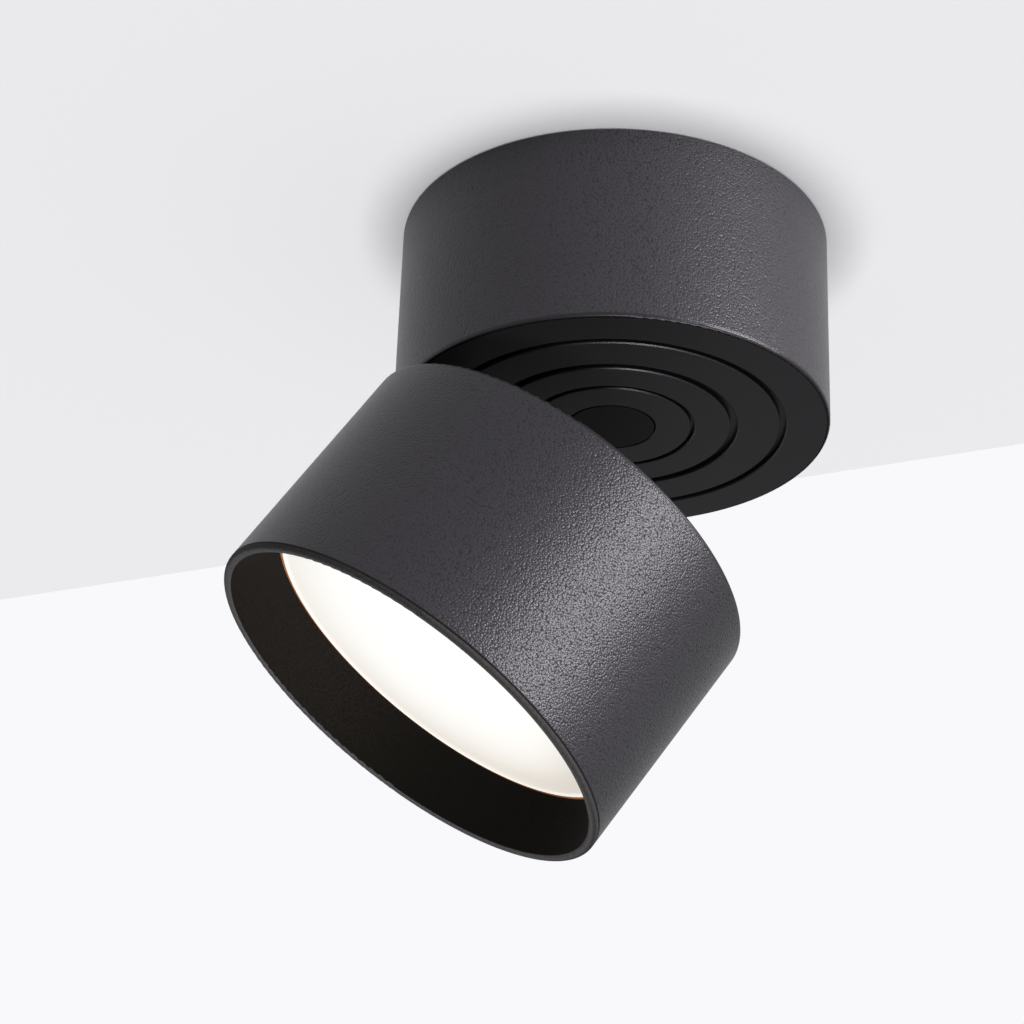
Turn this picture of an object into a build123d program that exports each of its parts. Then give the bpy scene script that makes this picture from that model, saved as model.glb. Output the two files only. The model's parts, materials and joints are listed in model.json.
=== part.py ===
"""Surface-mounted ceiling spotlight: a round base that pans and a round head that tilts.

Units are millimetres. The ceiling is the plane z = 0, +Z is up and the light hangs below.
At rest the head leans toward -X by the tilt angle below.
"""
import math
import os

from build123d import *

os.makedirs("parts", exist_ok=True)

# Overall sizes
body_radius = 50.0
base_height = 48.5
head_length = 56.4
shell_wall = 2.2
floor_thickness = 3.0
edge_round = 0.8
top_edge_round = 0.3
ceiling_gap = 0.6

# Tilt hinge: place, rest angle and the gap between the bodies when the head is straight
tilt_at_rest = 33.6
pivot_inset = 6.0
pivot_rise = 6.0
closed_gap = 3.2

# Ring grooves in the underside and in the back of the head: (distance in from the rim, width)
groove_places = ((10.75, 1.5), (21.9, 1.8), (31.3, 0.9))
groove_depth = 1.5
groove_chamfer = 0.25

# Clearances
running_fit = 0.06
hinge_fit = 0.05
push_fit = 0.02
free_fit = 0.1
loose_gap = 0.4

# Pan bearing
nipple_radius = 5.0
nipple_bore = 3.5
nipple_flange_radius = 9.0
nipple_flange = 2.0
web_rise = 7.5
web_thickness = 2.5
boss_radius = 13.0
well_radius = 10.2
pan_nut_flats = 17.0
pan_nut_height = 3.2
pan_washer_radius = 9.2
pan_washer_thickness = 0.95
cap_thickness = 1.8
cap_seam = 0.35
cap_lip = 0.8
nipple_end_gap = 0.5

# Ceiling plate, its stop stud and the rib in the base that meets the stud
plate_margin = 3.8
plate_thickness = 1.5
fixing_spacing = 60.0
fixing_slot_radius = 2.25
fixing_slot_travel = 8.0
stop_inset = 4.0
stop_radius = 1.5
stop_reach = 8.0
stop_collar_radius = 2.6
stop_collar = 1.5
stop_rib_width = 3.0
stop_rib_lap = 3.5
stop_rib_gap = 0.8
stop_rib_height = 6.5
entry_place = -22.0
entry_radius = 4.5
entry_hole_radius = 6.5
entry_flange_radius = 8.2
entry_length = 4.0
entry_flange = 1.5

# Hinge pieces
arm_width = 8.0
eye_radius = 3.4
arm_thickness = 4.8
leg_offset = 10.2
leg_thickness = 5.6
leg_bore = 1.6
foot_half_length = 3.4
foot_half_width = 9.4
foot_thickness = 2.2
pin_radius = 1.5
pin_head_radius = 2.6
pin_head = 1.2
pin_tail = 0.9
clip_radius = 2.8
clip_thickness = 0.6
hinge_washer = 0.5
hinge_washer_radius = 3.2
washer_play = 0.05
cheek_thickness = 3.0
cheek_length = 10.0
cheek_rise = 4.0
cheek_into_wall = 0.7
slot_gap = 0.5
slot_past_pin = 3.0

# Driver and wiring in the base
driver_length = 52.0
driver_wall_gap = 1.3
driver_boss_gap = 1.5
driver_height = 22.0
driver_wall = 1.5
driver_rail_width = 1.6
driver_rail_height = 2.5
driver_ear_length = 6.5
driver_ear_width = 8.0
driver_ear_place = 7.5
driver_ear_thickness = 2.0
driver_screw_edge = 3.0
driver_post_height = 4.0
driver_post_radius = 3.0
pilot_depth = 5.0
pilot_in_floor = 1.25
board_thickness = 1.6
board_margin = 0.4
board_part_gap = 1.0
transformer_length = 15.0
transformer_margin = 3.0
transformer_height = 13.0
capacitor_radius = 4.0
capacitor_height = 13.0
capacitor_pitch = 9.0
terminal_length = 26.0
terminal_near = -20.0
terminal_far = -33.0
terminal_height = 14.0
terminal_post_height = 3.0
terminal_post_radius = 2.8
terminal_pole_pitch = 8.5
terminal_wire_radius = 1.8
terminal_wire_rise = 5.5
terminal_screw_radius = 1.5
terminal_screw_sunk = 1.0
terminal_screw_end = 0.4
wire_radius = 1.1
wire_insert = 3.5
wire_bend = 2.5
neutral_turn = 4.0
live_turn = 1.5
neutral_boss_gap = 3.0
mains_lead_pitch = 3.5
cable_radius = 1.4
lead_bend = 2.5
output_rise = 3.0
output_place = 9.5
lead_clip_place = 2.5
lead_clip_length = 4.0
lead_clip_width = 6.0
lead_clip_crown = 2.0
earth_place = (-20.0, -16.0)
earth_tag_radius = 3.2
earth_tag_thickness = 0.8
earth_tag_width = 3.0
earth_drop_x = -14.0

# Light engine in the head, measured from the back of the head
mouth_wall = 2.2
mouth_taper = 1.8
mouth_edge_share = 0.45
recess_depth = 17.2
diffuser_thickness = 2.0
diffuser_gap = 0.3
bead_height = 0.3
bead_sink = 0.4
bead_room = 0.2
sink_foot_radius = 4.0
sink_foot_inset = 8.0
sink_fin_start = 7.0
sink_plate_start = 15.0
sink_plate_thickness = 4.0
sink_fin_thickness = 1.6
sink_fin_pitch = 6.0
sink_fin_inset = 4.0
sink_lead_gap = 4.0
sink_lead_hole = 2.4
pad_thickness = 0.4
pad_inset = 1.0
led_board_gap = 1.25
led_board_thickness = 1.6
led_size = 3.0
led_height = 0.8
led_pitch = 8.6
led_margin = 3.0
connector_inset = 0.5
connector_length = 4.5
connector_width = 6.0
connector_height = 3.0
reflector_wall = 1.2
reflector_back_inset = 4.0
reflector_front_inset = 1.6
grommet_radius = 2.6
grommet_flange_radius = 3.6
grommet_flange = 1.0

# Screws: shank radius, head radius, head height
m3_screw = (1.5, 2.75, 1.6)
m25_screw = (1.2, 2.0, 1.4)
drive_share = 0.5

# Places out from the axis of the base, worked out from the sizes above
inner_radius = body_radius - shell_wall
grooves = [(body_radius - inset, width) for inset, width in groove_places]
plate_radius = inner_radius - plate_margin
stop_pitch_radius = plate_radius - stop_inset
stop_rib_inner = stop_pitch_radius - stop_rib_lap
pivot_out = body_radius - pivot_inset
leg_out = pivot_out - leg_offset
slot_inner = leg_out - leg_thickness / 2 - slot_gap
slot_outer = pivot_out + slot_past_pin
driver_half = driver_length / 2
driver_near = boss_radius + driver_boss_gap
driver_far = math.sqrt((inner_radius - driver_wall_gap) ** 2 - driver_half**2)
driver_depth = driver_far - driver_near
driver_middle = (driver_near + driver_far) / 2
wire_end = terminal_near - wire_insert

# Heights in the base, worked out from the sizes above
underside = -base_height
floor_top = underside + floor_thickness
web_bottom = underside + web_rise
web_top = web_bottom + web_thickness
pivot_height = underside + pivot_rise
driver_post_top = floor_top + driver_post_height
terminal_bottom = floor_top + terminal_post_height
wire_height = terminal_bottom + terminal_wire_rise

# Places out from the axis of the head
mouth_radius = body_radius - mouth_wall
mouth_edge = mouth_wall * mouth_edge_share
bore_radius = mouth_radius - mouth_taper
sink_foot_place = bore_radius - sink_foot_inset
sink_fin_reach = bore_radius - sink_fin_inset
led_board_radius = sink_foot_place - m3_screw[1] - led_board_gap
pad_radius = led_board_radius - pad_inset
sink_lead_place = led_board_radius + sink_lead_gap
connector_outer = led_board_radius - connector_inset
connector_inner = connector_outer - connector_length
led_ring_count = math.floor((connector_inner - led_margin) / led_pitch)
led_screw_place = (led_ring_count - 1 / 2) * led_pitch
reflector_back_radius = bore_radius - reflector_back_inset
reflector_front_radius = bore_radius - reflector_front_inset

# Places along the head, from its back
diffuser_front = head_length - recess_depth
diffuser_back = diffuser_front - diffuser_thickness
sink_front = sink_plate_start + sink_plate_thickness
pad_front = sink_front + pad_thickness
led_board_front = pad_front + led_board_thickness
pivot_back = closed_gap + pivot_rise

# Planes: the head's own plane has x toward the hinge side and z toward the mouth
lean = math.radians(tilt_at_rest)
toward_mouth = Vector(-math.sin(lean), 0, -math.cos(lean))
toward_hinge = Vector(-math.cos(lean), 0, math.sin(lean))
pivot = Vector(-pivot_out, 0, pivot_height)
head_back = pivot - toward_hinge * pivot_out + toward_mouth * pivot_back
head = Plane(origin=head_back, x_dir=toward_hinge, z_dir=toward_mouth)
head_section = Plane(origin=head_back, x_dir=toward_hinge, z_dir=-head.y_dir)
head_axis = Axis(head_back, toward_mouth)
pin_plane = Plane(origin=pivot, x_dir=(1, 0, 0), z_dir=(0, 1, 0))


def save(piece, name):
    """Label a piece and write its file."""
    piece.part.label = name
    export_step(piece.part, f"parts/{name}.step")


def turned(section, points):
    """A piece turned about the section plane's upright axis from (radius, height) points."""
    with BuildPart() as piece:
        with BuildSketch(section):
            with BuildLine():
                Polyline(*points, close=True)
            make_face()
        revolve(axis=Axis(section.origin, section.y_dir))
    return piece


def tube(plane, outer, inner, length):
    """A round ring that stands on the plane."""
    with BuildPart() as piece:
        with BuildSketch(plane):
            Circle(outer)
            Circle(inner, mode=Mode.SUBTRACT)
        extrude(amount=length)
    return piece


def hex_nut(plane, flats, bore, height):
    """A six-sided nut that stands on the plane."""
    with BuildPart() as piece:
        with BuildSketch(plane):
            RegularPolygon(flats / 2, 6, major_radius=False)
            Circle(bore, mode=Mode.SUBTRACT)
        extrude(amount=height)
    return piece


def screws(seat, points, sizes, length):
    """Separate screws: the seat plane is the face under the heads and faces the driver bit."""
    shank_radius, screw_head_radius, screw_head_height = sizes
    with BuildPart() as group:
        with BuildSketch(seat):
            with Locations(*points):
                Circle(screw_head_radius)
        extrude(amount=screw_head_height)
        with BuildSketch(seat):
            with Locations(*points):
                Circle(shank_radius)
        extrude(amount=-length)
        with BuildSketch(seat.offset(screw_head_height)):
            with Locations(*points):
                RegularPolygon(screw_head_radius * drive_share, 6)
        extrude(amount=-screw_head_height * drive_share, mode=Mode.SUBTRACT)
    return group


def wire(points, radius, bend):
    """A round lead along straight runs joined by arcs."""
    with BuildPart() as piece:
        with BuildLine() as route:
            FilletPolyline(*points, radius=bend)
        with BuildSketch(Plane(origin=route.line @ 0, z_dir=route.line % 0)):
            Circle(radius)
        sweep()
    return piece


def circles(piece, radius):
    """The piece's round edges of one radius."""
    found = piece.edges().filter_by(GeomType.CIRCLE)
    return found.filter_by(lambda edge: abs(edge.radius - radius) < push_fit / 2)


# Ceiling plate: a flat disc with two fixing slots, the cable hole and the stop stud's hole
fixing_points = [(side * fixing_spacing / 2, 0) for side in (-1, 1)]
with BuildPart() as ceiling_plate:
    with BuildSketch(Plane.XY.offset(-plate_thickness)):
        Circle(plate_radius)
        Circle(nipple_radius + push_fit, mode=Mode.SUBTRACT)
        with Locations(*fixing_points):
            SlotCenterToCenter(fixing_slot_travel, 2 * fixing_slot_radius, mode=Mode.SUBTRACT)
        with Locations((0, entry_place)):
            Circle(entry_hole_radius, mode=Mode.SUBTRACT)
        with Locations((0, -stop_pitch_radius)):
            Circle(stop_radius + push_fit, mode=Mode.SUBTRACT)
    extrude(amount=plate_thickness)
save(ceiling_plate, "ceiling_plate")

# Hollow nipple, riveted flush in the plate: the base turns about it
nipple_end = underside + cap_thickness + nipple_end_gap
flange_bottom = -plate_thickness - nipple_flange
nipple_points = (
    (nipple_bore, 0),
    (nipple_radius, 0),
    (nipple_radius, -plate_thickness),
    (nipple_flange_radius, -plate_thickness),
    (nipple_flange_radius, flange_bottom),
    (nipple_radius, flange_bottom),
    (nipple_radius, nipple_end),
    (nipple_bore, nipple_end),
)
pan_nipple = turned(Plane.XZ, nipple_points)
save(pan_nipple, "pan_nipple")

# Rubber grommet round the cable hole
entry_shift = Plane(origin=(0, entry_place, 0), x_dir=(1, 0, 0), z_dir=(0, -1, 0))
grommet_points = (
    (entry_radius, 0),
    (entry_hole_radius - push_fit, 0),
    (entry_hole_radius - push_fit, -plate_thickness),
    (entry_flange_radius, -plate_thickness),
    (entry_flange_radius, -plate_thickness - entry_flange),
    (entry_hole_radius - push_fit, -plate_thickness - entry_flange),
    (entry_hole_radius - push_fit, -entry_length),
    (entry_radius, -entry_length),
)
cable_grommet = turned(entry_shift, grommet_points)
save(cable_grommet, "cable_grommet")

# Pan nuts and washers above and below the web of the base
lower_washer_bottom = web_bottom - washer_play - pan_washer_thickness
upper_washer_bottom = web_top + washer_play
upper_nut_bottom = upper_washer_bottom + pan_washer_thickness
nut_bore = nipple_radius + push_fit
washer_bore = nipple_radius + free_fit
lower_nut_plane = Plane.XY.offset(lower_washer_bottom - pan_nut_height)
pan_lower_nut = hex_nut(lower_nut_plane, pan_nut_flats, nut_bore, pan_nut_height)
save(pan_lower_nut, "pan_lower_nut")
pan_upper_nut = hex_nut(Plane.XY.offset(upper_nut_bottom), pan_nut_flats, nut_bore, pan_nut_height)
save(pan_upper_nut, "pan_upper_nut")
washer_planes = {
    "pan_lower_washer": Plane.XY.offset(lower_washer_bottom),
    "pan_upper_washer": Plane.XY.offset(upper_washer_bottom),
}
for washer_name, washer_plane in washer_planes.items():
    pan_washer = tube(washer_plane, pan_washer_radius, washer_bore, pan_washer_thickness)
    save(pan_washer, washer_name)

# Stop stud that the base's rib meets at either end of the pan
stud_section = Plane(origin=(0, -stop_pitch_radius, 0), x_dir=(1, 0, 0), z_dir=(0, -1, 0))
collar_bottom = -plate_thickness - stop_collar
stud_points = (
    (0, 0),
    (stop_radius, 0),
    (stop_radius, -plate_thickness),
    (stop_collar_radius, -plate_thickness),
    (stop_collar_radius, collar_bottom),
    (stop_radius, collar_bottom),
    (stop_radius, -plate_thickness - stop_reach),
    (0, -plate_thickness - stop_reach),
)
pan_stop_stud = turned(stud_section, stud_points)
save(pan_stop_stud, "pan_stop_stud")

# Base shell: a turned cup with a bearing web over a well in its middle
arm_half = arm_width / 2
slot_half = arm_half + hinge_washer + 2 * washer_play
cheek_middle = slot_half + cheek_thickness / 2
cheek_start = -inner_radius - cheek_into_wall
cheek_top = pivot_height + cheek_rise
driver_screw_x = driver_half + driver_ear_length - driver_screw_edge
ear_middle = driver_near + driver_ear_place
driver_posts = [(side * driver_screw_x, ear_middle) for side in (-1, 1)]
terminal_middle = (terminal_near + terminal_far) / 2
terminal_posts = [(side * terminal_pole_pitch / 2, terminal_middle) for side in (-1, 1)]
cup_points = (
    (nipple_radius + running_fit, web_bottom),
    (nipple_radius + running_fit, web_top),
    (boss_radius, web_top),
    (boss_radius, floor_top),
    (inner_radius, floor_top),
    (inner_radius, -ceiling_gap),
    (body_radius, -ceiling_gap),
    (body_radius, underside),
    (well_radius, underside),
    (well_radius, web_bottom),
)
with BuildPart() as base_shell:
    with BuildSketch(Plane.XZ):
        with BuildLine():
            Polyline(*cup_points, close=True)
        make_face()
    revolve(axis=Axis.Z)
    fillet(circles(base_shell, body_radius).sort_by(Axis.Z)[0], edge_round)
    fillet(circles(base_shell, body_radius).sort_by(Axis.Z)[-1], top_edge_round)
    with BuildSketch(Plane.XY.offset(underside)):
        for groove_radius, groove_width in grooves:
            Circle(groove_radius + groove_width / 2)
            Circle(groove_radius - groove_width / 2, mode=Mode.SUBTRACT)
    extrude(amount=groove_depth, mode=Mode.SUBTRACT)
    for groove_radius, groove_width in grooves:
        for groove_side in (-1, 1):
            groove_edges = circles(base_shell, groove_radius + groove_side * groove_width / 2)
            chamfer(groove_edges.sort_by(Axis.Z)[0], groove_chamfer)
    chamfer(circles(base_shell, well_radius).sort_by(Axis.Z)[0], groove_chamfer)
    # cheeks of the hinge, standing on the floor and joined to the wall
    with BuildSketch(Plane.XY.offset(floor_top)):
        with Locations(*[(cheek_start, side * cheek_middle) for side in (-1, 1)]):
            Rectangle(cheek_length, cheek_thickness, align=(Align.MIN, Align.CENTER))
    extrude(amount=cheek_top - floor_top)
    # slot for the arm
    with BuildSketch(Plane.XY.offset(underside)):
        with Locations((-(slot_inner + slot_outer) / 2, 0)):
            Rectangle(slot_outer - slot_inner, 2 * slot_half)
    extrude(amount=floor_thickness, mode=Mode.SUBTRACT)
    with BuildSketch(pin_plane):
        Circle(pin_radius + push_fit)
    extrude(amount=slot_half + cheek_thickness, both=True, mode=Mode.SUBTRACT)
    # stop rib inside the wall, opposite the stop stud at rest
    with BuildSketch(Plane.XY.offset(collar_bottom - stop_rib_gap)):
        with Locations((0, stop_rib_inner)):
            rib_length = inner_radius + cheek_into_wall - stop_rib_inner
            Rectangle(stop_rib_width, rib_length, align=(Align.CENTER, Align.MIN))
    extrude(amount=-stop_rib_height)
    # screw posts for the driver, the terminal block and the earth tag
    with BuildSketch(Plane.XY.offset(floor_top)):
        with Locations(*driver_posts):
            Circle(driver_post_radius)
    extrude(amount=driver_post_height)
    with BuildSketch(Plane.XY.offset(floor_top)):
        with Locations(*terminal_posts, earth_place):
            Circle(terminal_post_radius)
    extrude(amount=terminal_post_height)
    with BuildSketch(Plane.XY.offset(driver_post_top)):
        with Locations(*driver_posts):
            Circle(m3_screw[0] + push_fit)
    extrude(amount=-pilot_depth, mode=Mode.SUBTRACT)
    with BuildSketch(Plane.XY.offset(terminal_bottom)):
        with Locations(*terminal_posts):
            Circle(m25_screw[0] + push_fit)
        with Locations(earth_place):
            Circle(m3_screw[0] + push_fit)
    extrude(amount=-(terminal_post_height + pilot_in_floor), mode=Mode.SUBTRACT)
save(base_shell, "base_shell")

# Centre cap: pressed into the well, with a fine seam round its face
cap_top = underside + cap_thickness
cap_points = (
    (0, underside),
    (well_radius - cap_seam, underside),
    (well_radius - cap_seam, underside + cap_lip),
    (well_radius - push_fit, underside + cap_lip),
    (well_radius - push_fit, cap_top),
    (0, cap_top),
)
centre_cap = turned(Plane.XZ, cap_points)
save(centre_cap, "centre_cap")

# Hinge pin with a flat head, held by a push-on clip
cheek_outer = slot_half + cheek_thickness
pin_seat = cheek_outer + washer_play
pin_length = 2 * pin_seat + clip_thickness + pin_tail
with BuildPart() as hinge_pin:
    with BuildSketch(pin_plane.offset(-pin_seat)):
        Circle(pin_radius)
    extrude(amount=pin_length)
    with BuildSketch(pin_plane.offset(-pin_seat)):
        Circle(pin_head_radius)
    extrude(amount=-pin_head)
save(hinge_pin, "hinge_pin")
pin_clip = tube(pin_plane.offset(pin_seat), clip_radius, pin_radius + push_fit, clip_thickness)
save(pin_clip, "pin_clip")

# Friction washers on both sides of the arm's eye
washer_start = arm_half + washer_play
with BuildPart() as hinge_washers:
    for washer_side in (-1, 1):
        with BuildSketch(pin_plane.offset(washer_side * washer_start)):
            Circle(hinge_washer_radius)
            Circle(pin_radius + free_fit, mode=Mode.SUBTRACT)
        extrude(amount=washer_side * hinge_washer)
save(hinge_washers, "hinge_washers")

# Driver case: an open box with rails for the board, ears for its screws and holes for the leads
case_inside_length = driver_length - 2 * driver_wall
case_inside_depth = driver_depth - 2 * driver_wall
case_floor = floor_top + driver_wall
board_bottom = case_floor + driver_rail_height
lid_bottom = floor_top + driver_height
rail_offset = (case_inside_depth - driver_rail_width) / 2
neutral_x = boss_radius + neutral_boss_gap
live_x = neutral_x + mains_lead_pitch
output_height = wire_height + output_rise
output_exit = driver_near + output_place
with BuildPart() as driver_case:
    with BuildSketch(Plane.XY.offset(floor_top)):
        with Locations((0, driver_middle)):
            Rectangle(driver_length, driver_depth)
    extrude(amount=driver_height)
    with BuildSketch(Plane.XY.offset(case_floor)):
        with Locations((0, driver_middle)):
            Rectangle(case_inside_length, case_inside_depth)
    extrude(amount=driver_height, mode=Mode.SUBTRACT)
    with BuildSketch(Plane.XY.offset(case_floor)):
        with Locations(*[(0, driver_middle + side * rail_offset) for side in (-1, 1)]):
            Rectangle(case_inside_length, driver_rail_width)
    extrude(amount=driver_rail_height)
    with BuildSketch(Plane.XY.offset(driver_post_top)):
        for ear_side in (-1, 1):
            with Locations((ear_side * (driver_half + driver_ear_length / 2), ear_middle)):
                Rectangle(driver_ear_length, driver_ear_width)
    extrude(amount=driver_ear_thickness)
    with BuildSketch(Plane.XY.offset(driver_post_top)):
        with Locations(*driver_posts):
            Circle(m3_screw[0] + free_fit)
    extrude(amount=driver_ear_thickness, mode=Mode.SUBTRACT)
    with BuildSketch(Plane.XZ.offset(-driver_near)):
        with Locations((neutral_x, wire_height), (live_x, wire_height)):
            Circle(wire_radius + free_fit)
    extrude(amount=-driver_wall, mode=Mode.SUBTRACT)
    with BuildSketch(Plane.YZ.offset(-driver_half)):
        with Locations((output_exit, output_height)):
            Circle(cable_radius + free_fit)
    extrude(amount=driver_wall, mode=Mode.SUBTRACT)
save(driver_case, "driver_case")

with BuildPart() as driver_lid:
    with BuildSketch(Plane.XY.offset(lid_bottom)):
        with Locations((0, driver_middle)):
            Rectangle(driver_length, driver_depth)
    extrude(amount=driver_wall)
    with BuildSketch(Plane.XY.offset(lid_bottom)):
        with Locations((0, driver_middle)):
            Rectangle(case_inside_length - 2 * free_fit, case_inside_depth - 2 * free_fit)
            inset = 2 * (driver_wall + free_fit)
            Rectangle(case_inside_length - inset, case_inside_depth - inset, mode=Mode.SUBTRACT)
    extrude(amount=-driver_wall)
    fillet(driver_lid.edges().group_by(Axis.Z)[-1], edge_round)
save(driver_lid, "driver_lid")

# Driver board with its transformer and capacitors
with BuildPart() as driver_board:
    with BuildSketch(Plane.XY.offset(board_bottom)):
        with Locations((0, driver_middle)):
            Rectangle(case_inside_length - 2 * board_margin, case_inside_depth - 2 * board_margin)
    extrude(amount=board_thickness)
save(driver_board, "driver_board")
board_top = board_bottom + board_thickness
case_inner_x = driver_half - driver_wall
transformer_x = -case_inner_x + board_part_gap + transformer_length / 2
capacitor_x = case_inner_x - board_part_gap - capacitor_radius
capacitor_places = [(capacitor_x - number * capacitor_pitch, driver_middle) for number in range(3)]
with BuildPart() as driver_transformer:
    with BuildSketch(Plane.XY.offset(board_top)):
        with Locations((transformer_x, driver_middle)):
            Rectangle(transformer_length, case_inside_depth - 2 * transformer_margin)
    extrude(amount=transformer_height)
    fillet(driver_transformer.edges().filter_by(Axis.Z), edge_round)
save(driver_transformer, "driver_transformer")
with BuildPart() as driver_capacitors:
    with BuildSketch(Plane.XY.offset(board_top)):
        with Locations(*capacitor_places):
            Circle(capacitor_radius)
    extrude(amount=capacitor_height)
    fillet(driver_capacitors.edges().group_by(Axis.Z)[-1], edge_round)
save(driver_capacitors, "driver_capacitors")
driver_seat = Plane.XY.offset(driver_post_top + driver_ear_thickness)
driver_screws = screws(driver_seat, driver_posts, m3_screw, driver_ear_thickness + pilot_depth - free_fit)
save(driver_screws, "driver_screws")

# Terminal block with three poles, its clamp screws and its fixing screws
pole_points = [(pole * terminal_pole_pitch, terminal_middle) for pole in (-1, 0, 1)]
pole_places = [(point[0], wire_height) for point in pole_points]
terminal_top = terminal_bottom + terminal_height
clamp_top = terminal_top - terminal_screw_sunk
clamp_bottom = wire_height + terminal_wire_radius + terminal_screw_end
with BuildPart() as terminal_block:
    with BuildSketch(Plane.XY.offset(terminal_bottom)):
        with Locations((0, terminal_middle)):
            Rectangle(terminal_length, terminal_near - terminal_far)
    extrude(amount=terminal_height)
    fillet(terminal_block.edges().filter_by(Axis.Z), edge_round)
    with BuildSketch(Plane.XZ.offset(-terminal_near)):
        with Locations(*pole_places):
            Circle(terminal_wire_radius)
    extrude(amount=terminal_near - terminal_far, mode=Mode.SUBTRACT)
    with BuildSketch(Plane.XY.offset(terminal_top)):
        with Locations(*pole_points):
            Circle(terminal_screw_radius + free_fit)
    extrude(amount=wire_height - terminal_top, mode=Mode.SUBTRACT)
    with BuildSketch(Plane.XY.offset(terminal_top)):
        with Locations(*terminal_posts):
            Circle(m25_screw[0] + free_fit)
    extrude(amount=-terminal_height, mode=Mode.SUBTRACT)
save(terminal_block, "terminal_block")
with BuildPart() as terminal_screws:
    with BuildSketch(Plane.XY.offset(clamp_bottom)):
        with Locations(*pole_points):
            Circle(terminal_screw_radius)
    extrude(amount=clamp_top - clamp_bottom)
    with BuildSketch(Plane.XY.offset(clamp_top)):
        with Locations(*pole_points):
            Rectangle(2 * terminal_screw_radius, terminal_screw_sunk / 2)
    extrude(amount=-terminal_screw_sunk, mode=Mode.SUBTRACT)
save(terminal_screws, "terminal_screws")
terminal_fixing_length = terminal_height + terminal_post_height
terminal_seat = Plane.XY.offset(terminal_top)
terminal_fixings = screws(terminal_seat, terminal_posts, m25_screw, terminal_fixing_length)
save(terminal_fixings, "terminal_fixings")

# Mains leads from the terminal block to the driver, past the pan bearing
case_inner_y = driver_near + driver_wall
mains_leads = {
    "neutral_lead": (0, neutral_turn, neutral_x),
    "live_lead": (terminal_pole_pitch, live_turn, live_x),
}
for lead_name, (pole_x, lead_turn, lead_x) in mains_leads.items():
    mains_route = (
        (pole_x, wire_end, wire_height),
        (pole_x, terminal_near + lead_turn, wire_height),
        (lead_x, terminal_near + lead_turn, wire_height),
        (lead_x, case_inner_y, wire_height),
    )
    save(wire(mains_route, wire_radius, wire_bend), lead_name)

# Earth lead that ends in a ring tag under the earth screw
earth_x, earth_y = earth_place
tag_top = terminal_bottom + earth_tag_thickness
tag_end = earth_drop_x + wire_radius
earth_route = (
    (-terminal_pole_pitch, wire_end, wire_height),
    (-terminal_pole_pitch, earth_y, wire_height),
    (earth_drop_x, earth_y, wire_height),
    (earth_drop_x, earth_y, tag_top),
)
with BuildPart() as earth_lead:
    with BuildLine() as earth_line:
        FilletPolyline(*earth_route, radius=wire_bend)
    with BuildSketch(Plane(origin=earth_line.line @ 0, z_dir=earth_line.line % 0)):
        Circle(wire_radius)
    sweep()
    with BuildSketch(Plane.XY.offset(terminal_bottom)):
        with Locations(earth_place):
            Circle(earth_tag_radius)
        with Locations(((earth_x + tag_end) / 2, earth_y)):
            Rectangle(tag_end - earth_x, earth_tag_width)
        with Locations(earth_place):
            Circle(m3_screw[0] + free_fit, mode=Mode.SUBTRACT)
    extrude(amount=earth_tag_thickness)
save(earth_lead, "earth_lead")
earth_screw = screws(Plane.XY.offset(tag_top), [earth_place], m3_screw, terminal_post_height)
save(earth_screw, "earth_screw")

# Output lead from the driver to the top of the hinge slot, held by a saddle clip
clip_y = driver_near - lead_clip_place
lead_drop_end = cheek_top + free_fit
output_route = (
    (-case_inner_x, output_exit, output_height),
    (-leg_out, output_exit, output_height),
    (-leg_out, 0, output_height),
    (-leg_out, 0, lead_drop_end),
)
output_lead = wire(output_route, cable_radius, lead_bend)
save(output_lead, "output_lead")
with BuildPart() as lead_clip:
    with BuildSketch(Plane.XY.offset(floor_top)):
        with Locations((-leg_out, clip_y)):
            Rectangle(lead_clip_width, lead_clip_length)
    extrude(amount=output_height + cable_radius + lead_clip_crown - floor_top)
    with BuildSketch(Plane.XZ.offset(-clip_y)):
        with Locations((-leg_out, output_height)):
            Circle(cable_radius + free_fit)
    extrude(amount=lead_clip_length, both=True, mode=Mode.SUBTRACT)
    fillet(lead_clip.edges().filter_by(Axis.Y).group_by(Axis.Z)[-1], edge_round)
save(lead_clip, "lead_clip")

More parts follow.
